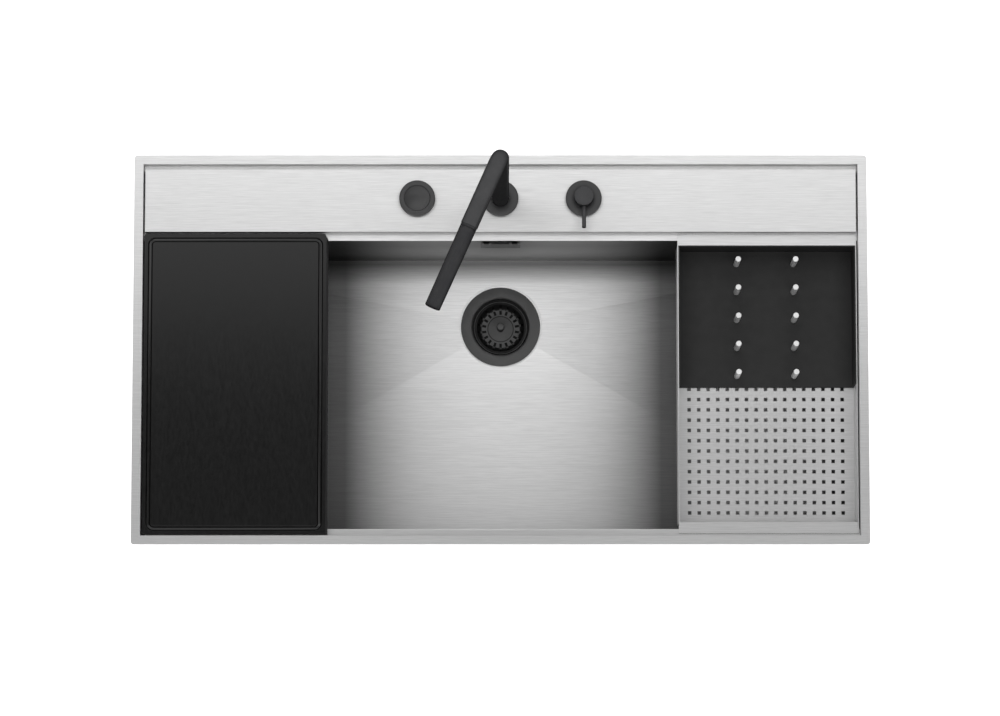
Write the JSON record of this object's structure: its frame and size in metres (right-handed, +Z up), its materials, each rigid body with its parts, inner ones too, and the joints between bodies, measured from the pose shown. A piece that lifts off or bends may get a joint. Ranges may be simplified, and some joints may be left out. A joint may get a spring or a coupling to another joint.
{
  "type": "workstation kitchen sink",
  "caption": "Inset workstation sink with a raised tap deck, swivelling pull-out tap, side mixer, waste control, sliding cutting board and perforated tray with a peg insert.",
  "frame": {"origin": "centre of the rim, in the plane of the worktop's top, which is the underside of the seal under the rim", "axes": "+X to the user's right, +Y to the back where the tap stands, +Z up"},
  "size_m": [0.96, 0.512, 0.6441],
  "materials": {
    "brushed_steel": "long grain brushed stainless steel",
    "plain_steel": "plain stainless steel",
    "black_coating": "matt black coated metal",
    "insert_coating": "matt dark grey coated steel sheet",
    "black_rubber": "moulded rubber",
    "sound_pad": "bitumen sound pad",
    "white_plastic": "moulded polypropylene",
    "grey_hose": "corrugated polyethylene",
    "black_plastic": "moulded black plastic",
    "brass": "turned brass",
    "black_board": "matt black solid laminate"
  },
  "bodies": {
    "sink": {"sink_bowl": "brushed_steel", "rim_frame": "brushed_steel", "rim_gasket": "black_rubber", "tap_deck": "brushed_steel", "sound_pads": "sound_pad", "clip_rails": "plain_steel", "mounting_clips": "brushed_steel", "clip_screws": "plain_steel", "overflow_cover": "black_coating", "overflow_screws": "plain_steel", "overflow_gasket": "black_rubber", "overflow_housing": "white_plastic", "overflow_hose": "grey_hose", "overflow_elbow": "white_plastic", "hose_clips": "plain_steel", "drain_flange": "black_coating", "drain_seals": "black_rubber", "drain_body": "white_plastic", "drain_outlet": "white_plastic", "drain_bridge": "white_plastic", "drain_screw": "plain_steel", "rocker_pivot": "plain_steel", "base_seals": "black_rubber", "shank_seals": "black_rubber", "shank_washers": "brushed_steel", "shank_nuts": "brass", "tap_base": "black_coating", "tap_shank": "brass", "swivel_bush": "white_plastic", "mixer_base": "black_coating", "mixer_body": "brass", "cartridge": "white_plastic", "cartridge_nut": "brass", "waste_base": "black_coating", "waste_housing": "white_plastic", "waste_spring": "plain_steel", "cable_glands": "black_rubber"},
    "rocker": {"lift_rocker": "black_plastic"},
    "lifter": {"lift_pin": "plain_steel"},
    "basket": {"strainer_basket": "black_coating", "basket_knob": "black_coating", "basket_seal": "black_rubber"},
    "spout": {"spout_tube": "black_coating", "docking_ring": "black_rubber", "tap_circlip": "plain_steel"},
    "spray": {"hand_spray": "black_coating", "spray_outlet": "black_plastic", "spray_hose": "plain_steel"},
    "rotor": {"cartridge_rotor": "white_plastic", "rotor_pin": "plain_steel"},
    "handle": {"mixer_stem": "plain_steel", "mixer_head": "black_coating", "mixer_lever": "black_coating", "head_screw": "plain_steel"},
    "button": {"waste_button": "black_coating"},
    "board": {"cutting_board": "black_board"},
    "tray": {"perforated_tray": "brushed_steel"},
    "insert": {"peg_insert": "insert_coating", "pegs": "brushed_steel", "peg_screws": "plain_steel"}
  },
  "joints": [
    {"name": "spout_swivel", "type": "hinge", "parent": "sink", "child": "spout", "pos_m": [0, 0.198, 0], "axis": [0, 0, 1], "range_deg": [-66, 114]},
    {"name": "spray_pull", "type": "slide", "parent": "spout", "child": "spray", "axis": [-0.4067, -0.9135, 0], "range_m": [0, 0.075]},
    {"name": "mixer_turn", "type": "hinge", "parent": "sink", "child": "rotor", "pos_m": [0.109, 0.198, 0], "axis": [0, 0, 1], "range_deg": [-45, 45]},
    {"name": "mixer_lift", "type": "hinge", "parent": "rotor", "child": "handle", "pos_m": [0.109, 0.198, 0.004], "axis": [-1, 0, 0], "range_deg": [0, 20]},
    {"name": "button_press", "type": "slide", "parent": "sink", "child": "button", "axis": [0, 0, -1], "range_m": [0, 0.003], "stiffness_N_per_m": 1500, "springref_m": -0.002, "deforming": ["waste_spring"]},
    {"name": "valve_lift", "type": "slide", "parent": "sink", "child": "lifter", "axis": [0, 0, 1], "range_m": [0, 0.008]},
    {"name": "rocker_turn", "type": "hinge", "parent": "sink", "child": "rocker", "pos_m": [0, 0.077, -0.2576], "axis": [-1, 0, 0], "range_deg": [0, 21.4]},
    {"name": "basket_lift", "type": "slide", "parent": "lifter", "child": "basket", "axis": [0, 0, 1], "range_m": [0, 0.11]},
    {"name": "board_slide", "type": "slide", "parent": "sink", "child": "board", "axis": [1, 0, 0], "range_m": [0, 0.22]},
    {"name": "tray_slide", "type": "slide", "parent": "sink", "child": "tray", "axis": [-1, 0, 0], "range_m": [0, 0.22]},
    {"name": "insert_slide", "type": "slide", "parent": "tray", "child": "insert", "axis": [0, -1, 0], "range_m": [0, 0.165]}
  ],
  "couplings": [
    {"joint": "valve_lift", "follows": "button_press", "ratio": 2.66},
    {"joint": "rocker_turn", "follows": "button_press", "rad_per_m": 124}
  ]
}
